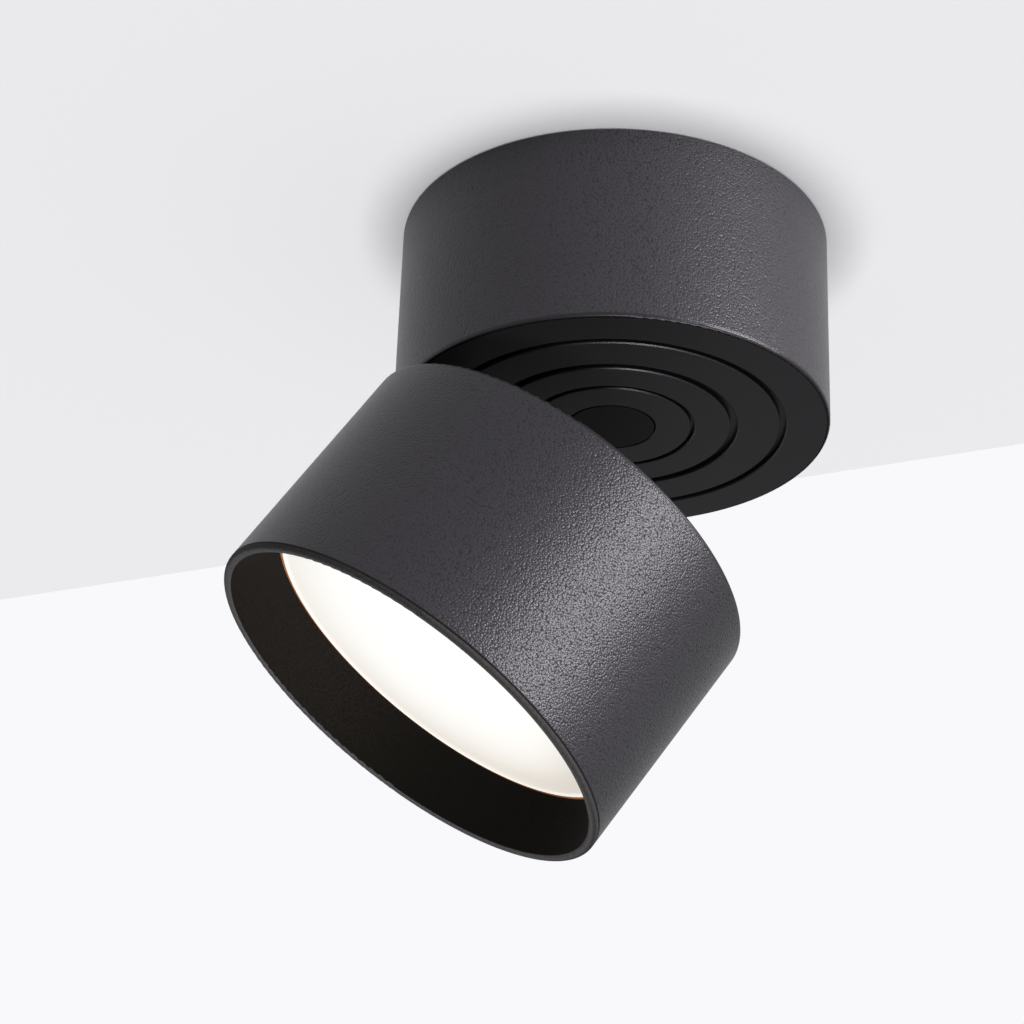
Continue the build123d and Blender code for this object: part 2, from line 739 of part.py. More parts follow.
# Head shell: a turned cup with a set-back mouth and a groove that holds the diffuser's bead
arm_screw_points = [(leg_out, side * (arm_half + m3_screw[1])) for side in (-1, 1)]
sink_angles = (60, 180, 300)
sink_points = []
for angle in sink_angles:
    turn = math.radians(angle)
    sink_points.append((sink_foot_place * math.cos(turn), sink_foot_place * math.sin(turn)))
bead_back = diffuser_back + bead_sink
bead_front = diffuser_front - bead_sink
groove_radius_inside = bore_radius + bead_height + bead_room
head_points = (
    (0, 0),
    (body_radius, 0),
    (body_radius, head_length),
    (mouth_radius, head_length),
    (bore_radius, diffuser_front),
    (bore_radius, bead_front + free_fit),
    (groove_radius_inside, bead_front + free_fit),
    (groove_radius_inside, bead_back - free_fit),
    (bore_radius, bead_back - free_fit),
    (bore_radius, floor_thickness),
    (0, floor_thickness),
)
with BuildPart() as head_shell:
    with BuildSketch(head_section):
        with BuildLine():
            Polyline(*head_points, close=True)
        make_face()
    revolve(axis=head_axis)
    fillet(circles(head_shell, body_radius).sort_by(head_axis)[0], edge_round)
    # the mouth's lip, rounded on both sides
    fillet(circles(head_shell, body_radius).sort_by(head_axis)[-1], mouth_edge)
    fillet(circles(head_shell, mouth_radius), mouth_edge)
    with BuildSketch(head):
        for groove_radius, groove_width in grooves:
            Circle(groove_radius + groove_width / 2)
            Circle(groove_radius - groove_width / 2, mode=Mode.SUBTRACT)
    extrude(amount=groove_depth, mode=Mode.SUBTRACT)
    for groove_radius, groove_width in grooves:
        for groove_side in (-1, 1):
            groove_edges = circles(head_shell, groove_radius + groove_side * groove_width / 2)
            chamfer(groove_edges.sort_by(head_axis)[0], groove_chamfer)
    with BuildSketch(head):
        with Locations((leg_out, 0)):
            Circle(grommet_radius)
        with Locations(*arm_screw_points):
            Circle(m3_screw[0] + free_fit)
    extrude(amount=floor_thickness, mode=Mode.SUBTRACT)
    with BuildSketch(head.offset(floor_thickness)):
        with Locations(*sink_points):
            Circle(m3_screw[0] + push_fit)
    extrude(amount=-groove_depth, mode=Mode.SUBTRACT)
save(head_shell, "head_shell")

# Hinge arm: a cranked arm whose eye turns on the pin and whose foot is screwed to the head
arm_section = Plane(origin=head_back, x_dir=toward_hinge, z_dir=-head.y_dir)
crank_top = -pivot_back - arm_thickness / 2
with BuildPart() as hinge_arm:
    with BuildSketch(arm_section):
        with Locations((pivot_out, -pivot_back)):
            Circle(eye_radius)
        crank_start = leg_out - leg_thickness / 2
        with Locations(((crank_start + pivot_out) / 2, -pivot_back)):
            Rectangle(pivot_out - crank_start, arm_thickness)
        with Locations((leg_out, crank_top / 2)):
            Rectangle(leg_thickness, -crank_top)
    extrude(amount=arm_half, both=True)
    with BuildSketch(head):
        with Locations((leg_out, 0)):
            RectangleRounded(2 * foot_half_length, 2 * foot_half_width, edge_round)
    extrude(amount=-foot_thickness)
    with BuildSketch(pin_plane):
        Circle(pin_radius + hinge_fit)
    extrude(amount=arm_half, both=True, mode=Mode.SUBTRACT)
    with BuildSketch(head):
        with Locations((leg_out, 0)):
            Circle(leg_bore)
    extrude(amount=crank_top, mode=Mode.SUBTRACT)
    with BuildSketch(head):
        with Locations(*arm_screw_points):
            Circle(m3_screw[0] + push_fit)
    extrude(amount=-foot_thickness, mode=Mode.SUBTRACT)
save(hinge_arm, "hinge_arm")
arm_screw_length = floor_thickness + foot_thickness - free_fit
arm_screws = screws(head.offset(floor_thickness), arm_screw_points, m3_screw, arm_screw_length)
save(arm_screws, "arm_screws")

# Grommet where the lead enters the head
lead_section = Plane(origin=head_back + toward_hinge * leg_out, x_dir=toward_hinge, z_dir=-head.y_dir)
lead_grommet_points = (
    (cable_radius + push_fit, 0),
    (grommet_radius - push_fit, 0),
    (grommet_radius - push_fit, floor_thickness),
    (grommet_flange_radius, floor_thickness),
    (grommet_flange_radius, floor_thickness + grommet_flange),
    (cable_radius + push_fit, floor_thickness + grommet_flange),
)
lead_grommet = turned(lead_section, lead_grommet_points)
save(lead_grommet, "lead_grommet")

# Heat sink: a plate with fins toward the back, standing on three feet
fin_count = 2 * math.floor(sink_fin_reach / sink_fin_pitch)
fin_places = [(number - (fin_count - 1) / 2) * sink_fin_pitch for number in range(fin_count)]
led_screw_points = []
for angle in (30, 150, 270):
    turn = math.radians(angle)
    led_screw_points.append((led_screw_place * math.cos(turn), led_screw_place * math.sin(turn)))
with BuildPart() as heat_sink:
    with BuildSketch(head.offset(sink_plate_start)):
        Circle(bore_radius - loose_gap)
        with Locations((sink_lead_place, 0)):
            Circle(sink_lead_hole, mode=Mode.SUBTRACT)
    extrude(amount=sink_plate_thickness)
    with BuildSketch(head.offset(sink_fin_start)):
        for fin_place in fin_places:
            fin_edge = abs(fin_place) + sink_fin_thickness / 2
            with Locations((0, fin_place)):
                Rectangle(2 * math.sqrt(sink_fin_reach**2 - fin_edge**2), sink_fin_thickness)
    extrude(amount=sink_plate_start - sink_fin_start)
    with BuildSketch(head.offset(floor_thickness)):
        with Locations(*sink_points):
            Circle(sink_foot_radius)
    extrude(amount=sink_plate_start - floor_thickness)
    with BuildSketch(head.offset(floor_thickness)):
        with Locations(*sink_points):
            Circle(m3_screw[0] + free_fit)
    extrude(amount=sink_front - floor_thickness, mode=Mode.SUBTRACT)
    with BuildSketch(head.offset(sink_front)):
        with Locations(*led_screw_points):
            Circle(m25_screw[0] + push_fit)
    extrude(amount=-sink_plate_thickness, mode=Mode.SUBTRACT)
save(heat_sink, "heat_sink")
sink_screw_length = sink_front - floor_thickness + groove_depth - free_fit
heat_sink_screws = screws(head.offset(sink_front), sink_points, m3_screw, sink_screw_length)
save(heat_sink_screws, "heat_sink_screws")

# Thermal pad, LED board, its chips, screws and connector
with BuildPart() as thermal_pad:
    with BuildSketch(head.offset(sink_front)):
        Circle(pad_radius)
        with Locations(*led_screw_points):
            Circle(m25_screw[0] + free_fit, mode=Mode.SUBTRACT)
    extrude(amount=pad_thickness)
save(thermal_pad, "thermal_pad")
with BuildPart() as led_board:
    with BuildSketch(head.offset(pad_front)):
        Circle(led_board_radius)
        with Locations(*led_screw_points):
            Circle(m25_screw[0] + free_fit, mode=Mode.SUBTRACT)
    extrude(amount=led_board_thickness)
save(led_board, "led_board")
with BuildPart() as led_chips:
    with BuildSketch(head.offset(led_board_front)):
        for ring_number in range(1, led_ring_count + 1):
            with PolarLocations(ring_number * led_pitch, 6 * ring_number):
                Rectangle(led_size, led_size)
    extrude(amount=led_height)
save(led_chips, "led_chips")
led_screw_length = led_board_thickness + pad_thickness + sink_plate_thickness - loose_gap
led_board_screws = screws(head.offset(led_board_front), led_screw_points, m25_screw, led_screw_length)
save(led_board_screws, "led_board_screws")
with BuildPart() as board_connector:
    with BuildSketch(head.offset(led_board_front)):
        with Locations(((connector_inner + connector_outer) / 2, 0)):
            Rectangle(connector_outer - connector_inner, connector_width)
    extrude(amount=connector_height)
save(board_connector, "board_connector")

# LED lead: through the arm and the heat sink to the connector
lead_middle = led_board_front + connector_height / 2
lead_rise = (sink_fin_start + sink_plate_start) / 2
lead_route = (
    (leg_out, crank_top + free_fit),
    (leg_out, sink_fin_start),
    (sink_lead_place, lead_rise),
    (sink_lead_place, lead_middle),
    (connector_outer + push_fit, lead_middle),
)
lead_points = []
for out, along in lead_route:
    lead_points.append(head_back + toward_hinge * out + toward_mouth * along)
led_lead = wire(lead_points, cable_radius, lead_bend)
save(led_lead, "led_lead")

# Reflector ring between the heat sink and the diffuser
reflector_points = (
    (reflector_back_radius, sink_front),
    (reflector_back_radius + reflector_wall, sink_front),
    (reflector_front_radius + reflector_wall, diffuser_back),
    (reflector_front_radius, diffuser_back),
)
reflector = turned(head_section, reflector_points)
save(reflector, "reflector")

# Diffuser: an opal disc with a bead that snaps into the shell's groove
diffuser_radius = bore_radius - diffuser_gap
diffuser_points = (
    (0, diffuser_back),
    (diffuser_radius, diffuser_back),
    (diffuser_radius, bead_back),
    (bore_radius + bead_height, bead_back),
    (bore_radius + bead_height, bead_front),
    (diffuser_radius, bead_front),
    (diffuser_radius, diffuser_front),
    (0, diffuser_front),
)
diffuser = turned(head_section, diffuser_points)
save(diffuser, "diffuser")
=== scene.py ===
"""Finishes, diffuser and stage for a surface-mounted ceiling spotlight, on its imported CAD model.

It is laid out as a Blender add-on and is run as a script. Lengths are in metres, in the CAD frame:
the ceiling is the plane z = 0, the light hangs below it and the head leans toward -X.
"""
import json
import math

import bpy
import numpy as np
from bpy.props import FloatProperty, FloatVectorProperty, PointerProperty
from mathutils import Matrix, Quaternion, Vector


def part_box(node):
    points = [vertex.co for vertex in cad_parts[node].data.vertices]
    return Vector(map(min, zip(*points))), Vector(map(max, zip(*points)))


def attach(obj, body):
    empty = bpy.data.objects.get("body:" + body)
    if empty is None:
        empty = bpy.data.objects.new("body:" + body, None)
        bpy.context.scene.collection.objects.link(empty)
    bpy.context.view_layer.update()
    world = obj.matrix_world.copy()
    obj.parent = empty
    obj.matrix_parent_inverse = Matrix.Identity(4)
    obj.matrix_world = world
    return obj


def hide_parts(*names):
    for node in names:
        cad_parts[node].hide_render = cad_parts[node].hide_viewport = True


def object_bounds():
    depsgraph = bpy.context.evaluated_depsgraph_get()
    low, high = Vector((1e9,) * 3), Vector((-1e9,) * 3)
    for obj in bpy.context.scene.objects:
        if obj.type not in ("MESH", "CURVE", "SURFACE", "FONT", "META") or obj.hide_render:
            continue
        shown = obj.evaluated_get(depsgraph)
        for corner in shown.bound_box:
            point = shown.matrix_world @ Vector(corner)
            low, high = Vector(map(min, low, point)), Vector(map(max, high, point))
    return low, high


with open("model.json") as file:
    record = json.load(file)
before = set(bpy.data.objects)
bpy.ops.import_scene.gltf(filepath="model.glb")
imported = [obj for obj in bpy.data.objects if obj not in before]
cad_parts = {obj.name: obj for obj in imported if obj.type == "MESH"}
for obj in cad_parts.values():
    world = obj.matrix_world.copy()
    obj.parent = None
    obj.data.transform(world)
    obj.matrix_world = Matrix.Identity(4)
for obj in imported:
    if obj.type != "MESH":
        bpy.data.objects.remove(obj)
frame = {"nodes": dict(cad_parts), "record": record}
cad_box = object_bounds()

bl_info = {
    "name": "Ceiling spotlight",
    "version": (1, 0, 0),
    "blender": (4, 5, 0),
    "location": "3D View > Sidebar > Spotlight",
    "description": "Finishes, diffuser and stage for a ceiling spotlight that pans and tilts",
    "category": "3D View",
}

# From the record: the colour of each material slot, the slot of each node and the joints
slot_colours = {entry["slot"]: entry["base_color"][:3] for entry in frame["record"]["materials"]}
node_slots = {entry["node"]: entry["material_slot"] for entry in frame["record"]["subparts"]}
joints = {entry["name"]: entry for entry in frame["record"]["behaviour"]["joints"]}

# The base turns about the pan axis through the origin
origin = (0.0, 0.0, 0.0)
pan_axis = (0.0, 0.0, 1.0)

# The head's own axes at rest. It points straight down at the lower end of its tilt.
head_tilt = -math.radians(joints["tilt"]["range_deg"][0])
toward_mouth = np.array((-math.sin(head_tilt), 0.0, -math.cos(head_tilt)))
toward_hinge = np.array((-math.cos(head_tilt), 0.0, math.sin(head_tilt)))
head_side = np.cross(toward_mouth, toward_hinge)

# Places of the Mix node's colour sockets, whose names it also gives to other sockets
mix_first = 6
mix_second = 7
mix_result = 2


class Signal:
    """One value in a node tree. Arithmetic on it adds Math nodes to the tree."""

    def __init__(self, tree, socket):
        self.tree = tree
        self.socket = socket

    def math(self, operation, *values):
        """A Math node on the values."""
        return self.tree.node("ShaderNodeMath", {"operation": operation}, dict(enumerate(values)))

    def __add__(self, other):
        return self.math("ADD", self, other)

    def __radd__(self, other):
        return self.math("ADD", other, self)

    def __sub__(self, other):
        return self.math("SUBTRACT", self, other)

    def __rsub__(self, other):
        return self.math("SUBTRACT", other, self)

    def __mul__(self, other):
        return self.math("MULTIPLY", self, other)

    def __rmul__(self, other):
        return self.math("MULTIPLY", other, self)

    def maximum(self, other):
        """The larger of two values."""
        return self.math("MAXIMUM", self, other)


class Tree:
    """A node tree that is filled by one method for any type of node."""

    def __init__(self, tree):
        self.tree = tree
        self.tree.nodes.clear()

    def node(self, kind, settings, sockets, output=0):
        """Add a node, set its settings, fill its sockets with values or links, and return one output."""
        made = self.tree.nodes.new(kind)
        for name, value in settings.items():
            setattr(made, name, value)
        for name, value in sockets.items():
            if isinstance(value, Signal):
                self.tree.links.new(value.socket, made.inputs[name])
            else:
                made.inputs[name].default_value = value
        return Signal(self, made.outputs[output]) if made.outputs else None

    def place(self):
        """Object coordinates, which are the CAD frame's metres."""
        return self.node("ShaderNodeTexCoord", {}, {}, "Object")

    def vector(self, operation, first, second=origin, output="Vector"):
        """Vector Math on two vectors."""
        return self.node("ShaderNodeVectorMath", {"operation": operation}, {0: first, 1: second}, output)

    def along_axis(self, place, point, axis):
        """Distance from a point along an axis: the dot product of the offset and the axis."""
        offset = self.vector("SUBTRACT", place, tuple(point))
        return self.vector("DOT_PRODUCT", offset, tuple(axis), "Value")

    def from_axis(self, place, point, axis):
        """Distance from an axis: the length of the cross product of the offset and the axis."""
        offset = self.vector("SUBTRACT", place, tuple(point))
        return self.vector("LENGTH", self.vector("CROSS_PRODUCT", offset, tuple(axis)), output="Value")

    def noise(self, place, size, detail=2.0):
        """Noise whose grains are about as large as size, from 0 to 1."""
        sockets = {"Vector": place, "Scale": 1.0 / size, "Detail": detail}
        return self.node("ShaderNodeTexNoise", {}, sockets, "Fac")

    def pebbles(self, place, size):
        """Rounded pebbles about as large as size: 1 in a pebble's middle, less by the distance squared."""
        sockets = {"Vector": place, "Scale": 1.0 / size}
        distance = self.node("ShaderNodeTexVoronoi", {"feature": "F1"}, sockets, "Distance")
        return 1.0 - distance * distance

    def grit(self, place, size):
        """Fine noise with most of its grains near 0 or 1."""
        return self.between(self.noise(place, size, detail=1.0), low=0.3, high=0.7)

    def between(self, value, low, high):
        """A smooth change from 0 to 1 as value goes from low to high."""
        sockets = {"Value": value, "From Min": low, "From Max": high}
        return self.node("ShaderNodeMapRange", {"interpolation_type": "SMOOTHSTEP"}, sockets)

    def above(self, value, edge, soft):
        """1 where value is above an edge and 0 below it, with a soft change."""
        return self.between(value, edge - soft, edge + soft)

    def below(self, value, edge, soft):
        """1 where value is below an edge and 0 above it, with a soft change."""
        return self.between(value, edge + soft, edge - soft)

    def mix(self, factor, first, second):
        """A colour between two colours."""
        sockets = {0: factor, mix_first: as_colour(first), mix_second: as_colour(second)}
        return self.node("ShaderNodeMix", {"data_type": "RGBA"}, sockets, mix_result)

    def uneven(self, factor, colour, darkest, lightest):
        """A colour between a darker and a lighter shade of itself."""
        return self.mix(factor, shade(colour, darkest), shade(colour, lightest))

    def bump(self, height, depth):
        """A normal from a height between 0 and 1 that stands for a real depth."""
        return self.node("ShaderNodeBump", {}, {"Height": height, "Distance": depth}, "Normal")

    def shown_ray(self):
        """One where a surface or the background is looked at, straight, in a reflection or through glass."""
        camera_ray = self.node("ShaderNodeLightPath", {}, {}, "Is Camera Ray")
        glossy_ray = self.node("ShaderNodeLightPath", {}, {}, "Is Glossy Ray")
        clear_ray = self.node("ShaderNodeLightPath", {}, {}, "Is Transmission Ray")
        return camera_ray.maximum(glossy_ray).maximum(clear_ray)

    def principled(self, sockets):
        """A Principled shader."""
        return self.node("ShaderNodeBsdfPrincipled", {}, sockets)

    def either(self, factor, first, second):
        """The first shader where factor is 0 and the second where it is 1."""
        return self.node("ShaderNodeMixShader", {}, {0: factor, 1: first, 2: second})

    def surface(self, shader):
        """Finish a material's tree with its shader."""
        self.node("ShaderNodeOutputMaterial", {}, {"Surface": shader})


def as_colour(value):
    """A link as it is, or a colour with its fourth number."""
    return value if isinstance(value, Signal) else (*value[:3], 1.0)


def shade(colour, amount):
    """A colour made lighter or darker by a factor."""
    return tuple(min(1.0, part * amount) for part in colour)


def about(middle, width, by):
    """A value that goes from half a width below middle to half a width above it as by goes from 0 to 1."""
    return middle - width / 2 + width * by


def blend(first, second, share):
    """A share of the first value and the rest of the second."""
    return share * first + (1.0 - share) * second


def new_material(name):
    """A material and its empty tree."""
    material = bpy.data.materials.new(name)
    material.use_nodes = True
    return material, Tree(material.node_tree)


def give(nodes, material):
    """Put a material on CAD nodes."""
    for name in nodes:
        for slot in frame["nodes"][name].material_slots:
            slot.material = material


def round_wall(tree, settings, along, radius, start, end):
    """1 on the round wall from start to end, and 0 on its rounded start and on every other face."""
    edge = settings.edge_round
    start_fade = 0.3 * edge
    end_fade = 0.25 * edge
    outside = tree.between(radius, settings.wall_start, settings.wall_full)
    past_start = tree.between(along, start + edge, start + edge + start_fade)
    before_end = tree.between(along, end, end - end_fade)
    return outside * past_start * before_end


def powder_coat(tree, settings, place, wall):
    """Textured black powder coat: pebbled where wall is 1, fine and darker where it is 0; the darker colour
    there is painted shade on the flat faces.
    """
    speck_height = 0.25
    pebble = wall * tree.pebbles(place, settings.grain_size)
    speck = tree.noise(place, settings.speck_size, detail=1.0)
    cloud = tree.noise(place, settings.cloud_size)
    grain = tree.between(pebble + (1.0 - wall) * speck, low=0.25, high=0.9)
    tone = blend(cloud, grain, share=0.2)
    outside = tree.uneven(tone, settings.coat_colour, darkest=0.5, lightest=1.5)
    # Painted shade: the flat faces, such as the base's underside, get a darker copy of the coat colour.
    inside = tree.uneven(tone, settings.flat_painted_shade, darkest=0.6, lightest=1.4)
    return tree.principled({
        "Base Color": tree.mix(wall, inside, outside),
        "Roughness": about(settings.coat_roughness, width=0.12, by=speck),
        "Specular IOR Level": settings.coat_gloss,
        "Specular Tint": as_colour(settings.coat_sheen),
        "Normal": tree.bump(pebble + speck_height * speck, settings.grain_depth),
    })


def base_coat(settings):
    """Powder coat of the base and the hinge arm, about the pan axis, dull where its edge turns under."""
    material, tree = new_material("base_coat")
    low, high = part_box("base_shell")
    place = tree.place()
    along = tree.along_axis(place, origin, pan_axis)
    radius = tree.from_axis(place, origin, pan_axis)
    coat = powder_coat(tree, settings, place, round_wall(tree, settings, along, radius, low.z, high.z))
    soft = settings.edge_blur
    lowest = tree.below(along, low.z + settings.turn_height, soft)
    turned_under = lowest * tree.above(radius, high.x - settings.edge_round, soft)
    grit = tree.grit(place, settings.grain_size)
    # The dull turned-under edge also takes the flat faces' painted shade colour.
    dull = tree.principled({
        "Base Color": tree.uneven(grit, settings.flat_painted_shade, darkest=0.6, lightest=1.4),
        "Roughness": about(settings.bore_roughness, width=0.1, by=grit),
        "Specular IOR Level": settings.bore_gloss,
    })
    tree.surface(tree.either(turned_under, coat, dull))
    return material


def head_coat(settings, centre):
    """Powder coat of the head, with a dull lip, a dark line painted where the lip meets the wall as the
    shade of a seam, and a matt bore.

    centre is the middle of the diffuser, from which places along the head are measured. The lip is darker
    on its outer edge, a painted shade. The bore is lighter toward the hinge, painted light, and amber just
    in front of the diffuser, a painted glow of the diffuser's light.
    """
    material, tree = new_material("head_coat")
    place = tree.place()
    along = tree.along_axis(place, centre, toward_mouth)
    across = tree.along_axis(place, centre, toward_hinge)
    radius = tree.from_axis(place, centre, toward_mouth)
    back = settings.lip_place - settings.head_length
    wall_end = settings.lip_place - settings.line_end
    coat = powder_coat(tree, settings, place, round_wall(tree, settings, along, radius, back, wall_end))

    soft = settings.edge_blur
    behind_lip = settings.lip_place - along
    inner = tree.below(radius, settings.lip_radius, soft)
    front = (1.0 - inner) * tree.below(behind_lip, settings.line_end, soft)
    # Painted shade: a dark band where the lip meets the wall stands in for the shadow of a seam.
    line = front * tree.above(behind_lip, settings.line_start, soft)
    ahead = tree.above(along, 0.0, soft)
    grit = tree.grit(place, settings.grain_size)

    dark_grit = 0.3
    # The lip's grey is partly its own dull coat and partly painted sheen. Its rounded outer edge is darker,
    # a painted shade.
    outer = tree.between(radius, settings.rim_start, settings.rim_full)
    lip_tone = tree.mix(outer, settings.lip_painted_sheen, settings.rim_painted_shade)
    lip = tree.principled({
        "Base Color": tree.mix(grit * dark_grit, lip_tone, settings.bore_colour),
        "Roughness": about(settings.lip_roughness, width=0.1, by=grit),
        "Specular IOR Level": settings.bore_gloss,
    })

    # Painted light: the bore is made lighter toward the hinge, standing in for the light that falls on that
    # side.
    lighter = tree.between(across, settings.bore_dark, settings.bore_light) * about(1.0, width=1.2, by=grit)
    bore_tone = tree.mix(lighter, settings.bore_colour, settings.bore_painted_light)
    # Painted light: an amber band on the bore just in front of the diffuser stands in for the diffuser's
    # light falling on it.
    amber = inner * tree.below(along, settings.painted_glow_place, soft)
    bore = tree.principled({
        "Base Color": tree.mix(amber, bore_tone, settings.painted_glow_colour),
        "Roughness": about(settings.bore_roughness, width=0.1, by=grit),
        "Specular IOR Level": settings.bore_gloss,
        "Normal": tree.bump(grit, settings.speck_depth),
    })
    outside = tree.either(front, coat, lip)
    # The painted seam shade and the bore both take the bore's dark shader.
    tree.surface(tree.either(line.maximum(inner * ahead), outside, bore))
    return material


def metal(slot, settings):
    """Bare or plated metal: fine grain along one way, and cloudy tone."""
    material, tree = new_material(slot)
    place = tree.place()
    lengthened = (1.0, 0.25, 1.0)
    grain = tree.noise(tree.vector("MULTIPLY", place, lengthened), settings.metal_grain, detail=3.0)
    cloud = tree.noise(place, settings.cloud_size)
    tone = blend(grain, cloud, share=0.5)
    tree.surface(tree.principled({
        "Base Color": tree.uneven(tone, slot_colours[slot], darkest=0.85, lightest=1.1),
        "Metallic": 1.0,
        "Roughness": about(settings.metal_roughness, width=0.16, by=grain),
        "Normal": tree.bump(grain, settings.metal_depth),
    }))
    return material


def moulded(slot, settings, tone=1.0):
    """Moulded plastic, rubber or insulation: a faint skin and uneven colour. A lower tone is duller."""
    material, tree = new_material(slot)
    place = tree.place()
    full_gloss = 0.5
    skin = tree.noise(place, settings.skin_size)
    cloud = tree.noise(place, settings.cloud_size)
    colour = shade(slot_colours[slot], tone)
    tree.surface(tree.principled({
        "Base Color": tree.uneven(blend(skin, cloud, share=0.4), colour, darkest=0.88, lightest=1.08),
        "Roughness": about(settings.skin_roughness, width=0.12, by=skin),
        "Specular IOR Level": full_gloss * tone,
        "Normal": tree.bump(skin, settings.skin_depth),
    }))
    return material


def circuit_board(slot, settings):
    """Board with solder mask: tracks stand out as paler cells with thin gaps between them."""
    material, tree = new_material(slot)
    place = tree.place()
    cells = {"Vector": place, "Scale": 1.0 / settings.track_size}
    edge = tree.node("ShaderNodeTexVoronoi", {"feature": "DISTANCE_TO_EDGE"}, cells)
    track = tree.between(edge, low=0.03, high=0.08)
    skin = tree.noise(place, settings.skin_size)
    tone = blend(track, skin, share=0.7)
    tree.surface(tree.principled({
        "Base Color": tree.uneven(tone, slot_colours[slot], darkest=0.7, lightest=1.1),
        "Roughness": about(settings.board_roughness, width=0.1, by=skin),
        "Normal": tree.bump(track, settings.skin_depth),
    }))
    return material


def phosphor(slot, settings):
    """LED phosphor: yellow, grainy and a little glossy."""
    material, tree = new_material(slot)
    grain = tree.noise(tree.place(), settings.skin_size, detail=3.0)
    tree.surface(tree.principled({
        "Base Color": tree.uneven(grain, slot_colours[slot], darkest=0.8, lightest=1.15),
        "Roughness": about(settings.phosphor_roughness, width=0.15, by=grain),
        "Normal": tree.bump(grain, settings.skin_depth),
    }))
    return material


def opal(settings, centre):
    """Opal plastic lit from behind, with a bright lip.

    Its glow fades and warms with the fourth power of the distance from a point near the middle.
    """
    material, tree = new_material("opal_plastic")
    place = tree.place()
    cloudiness = 0.03
    lip_start = settings.radius - settings.lip_width
    lip_fade = 0.4 * settings.lip_width
    lip = tree.between(tree.from_axis(place, centre, toward_mouth), lip_start, lip_start + lip_fade)
    glow_centre = np.array(centre) + settings.glow_shift * toward_hinge
    share = tree.from_axis(place, glow_centre, toward_mouth) * (1.0 / lip_start)
    square = share * share
    cloud = tree.noise(place, settings.cloud_size)
    fading = tree.mix(square * square - cloudiness * cloud, settings.glow_colour, settings.edge_colour)
    tree.surface(tree.principled({
        "Base Color": tree.uneven(cloud, settings.body_colour, darkest=0.97, lightest=1.0),
        "Roughness": about(settings.roughness, width=0.06, by=cloud),
        "Emission Color": tree.mix(lip, fading, settings.glow_colour),
        "Emission Strength": settings.glow_strength,
    }))
    return material


# The function that makes each slot's material. The powder coat, the opal and the cap are made apart.
slot_finishes = {
    "zinc_steel": metal,
    "spring_steel": metal,
    "polished_steel": metal,
    "brass": metal,
    "bare_aluminium": metal,
    "black_rubber": moulded,
    "nylon_washer": moulded,
    "white_plastic": moulded,
    "yellow_tape": moulded,
    "capacitor_sleeve": moulded,
    "blue_wire": moulded,
    "brown_wire": moulded,
    "green_wire": moulded,
    "black_wire": moulded,
    "grey_pad": moulded,
    "green_board": circuit_board,
    "white_board": circuit_board,
    "led_phosphor": phosphor,
}


def finish_slots(nodes):
    """Give each node the material of its slot, which is made once."""
    settings = bpy.context.scene.spotlight_finishes
    for node in nodes:
        slot = node_slots[node]
        name = "finish_" + slot
        found = bpy.data.materials.get(name)
        if found is None:
            found = slot_finishes[slot](slot, settings)
            found.name = name
        give([node], found)


def turned_piece(name, radius, along, start, segments):
    """A closed piece turned about the head's axis.

    radius and along are the profile, from the front pole to the back pole. A point of the grid is
    start + along * toward_mouth + radius * (cos(turn) * toward_hinge + sin(turn) * head_side), where
    turn goes once round. The poles are single points and the last column joins the first.
    """
    turn = np.linspace(0.0, 2.0 * np.pi, segments, endpoint=False)
    spoke = np.cos(turn)[:, None] * toward_hinge + np.sin(turn)[:, None] * head_side
    ring_radius = radius[1:-1, None, None]
    ring_along = along[1:-1, None, None]
    rings = start + ring_along * toward_mouth + ring_radius * spoke[None, :, :]
    front = start + along[0] * toward_mouth
    back = start + along[-1] * toward_mouth
    points = np.vstack((front, rings.reshape(-1, 3), back))
    number = 1 + np.arange(len(rings) * segments).reshape(len(rings), segments)
    beside = np.roll(number, -1, axis=1)
    quads = np.stack((number[:-1], number[1:], beside[1:], beside[:-1]), axis=-1).reshape(-1, 4)
    front_fan = np.stack((np.zeros(segments, int), number[0], beside[0]), axis=-1)
    back_fan = np.stack((np.full(segments, len(points) - 1), beside[-1], number[-1]), axis=-1)
    faces = front_fan.tolist() + quads.tolist() + back_fan.tolist()
    mesh = bpy.data.meshes.new(name)
    mesh.from_pydata(points.tolist(), [], faces)
    mesh.shade_smooth()
    piece = bpy.data.objects.new(name, mesh)
    bpy.context.scene.collection.objects.link(piece)
    return piece


